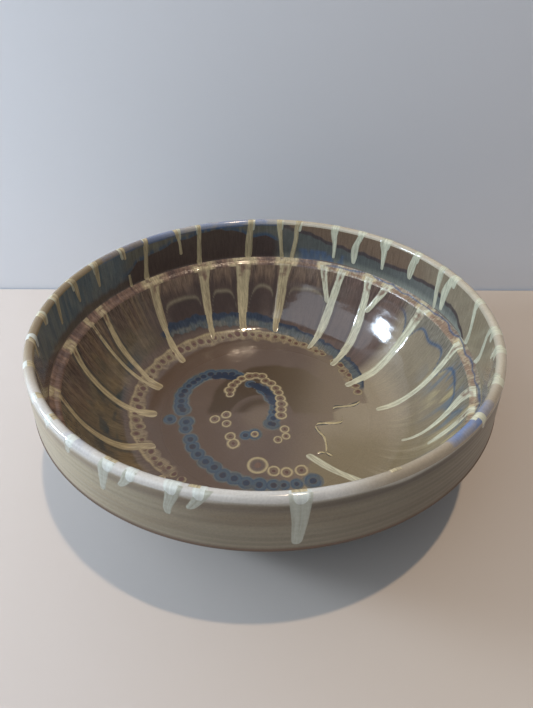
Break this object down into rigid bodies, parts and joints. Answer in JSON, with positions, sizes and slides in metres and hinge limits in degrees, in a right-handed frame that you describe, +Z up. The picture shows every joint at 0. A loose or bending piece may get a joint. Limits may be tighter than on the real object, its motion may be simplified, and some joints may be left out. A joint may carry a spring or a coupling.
{
  "type": "punch bowl",
  "caption": "Wide wheel-thrown stoneware punch bowl with an upright collar, a sharp edge under it, a flat floor, a foot ring, and poured and trailed glaze decoration.",
  "frame": {"origin": "centre of the foot ring's resting face, on the table", "axes": "+Z up along the bowl's turning axis; +Y is the side of the bowl away from the viewer; the decoration alone tells the sides apart"},
  "size_m": [0.3599, 0.36, 0.1246],
  "materials": {
    "bare_clay": "matt fired stoneware",
    "taupe_glaze": "gloss glaze, brown-grey",
    "red_brown_glaze": "gloss glaze, streaked",
    "dark_glaze": "gloss glaze, brown to teal",
    "pale_glaze": "gloss glaze",
    "olive_glaze": "gloss glaze over throwing lines",
    "cream_glaze": "gloss glaze, poured",
    "blue_glaze": "gloss glaze, mottled",
    "navy_glaze": "gloss glaze",
    "yellow_glaze": "gloss glaze, trailed",
    "iron_brown_glaze": "gloss glaze"
  },
  "bodies": {
    "root": {"clay_bowl": "bare_clay", "foot_ring": "bare_clay", "liner_glaze": "taupe_glaze", "ledge_glaze": "red_brown_glaze", "collar_glaze": "dark_glaze", "rim_glaze": "pale_glaze", "outer_glaze": "olive_glaze", "under_glaze": "olive_glaze", "cream_wall_runs": "cream_glaze", "cream_collar_runs": "cream_glaze", "cream_rim_bars": "cream_glaze", "cream_outer_runs": "cream_glaze", "blue_rim_wash": "blue_glaze", "blue_wall_band": "blue_glaze", "blue_floor_trail": "blue_glaze", "navy_dots": "navy_glaze", "yellow_floor_trail": "yellow_glaze", "yellow_edge_band": "yellow_glaze", "brown_dots": "iron_brown_glaze"}
  },
  "joints": []
}
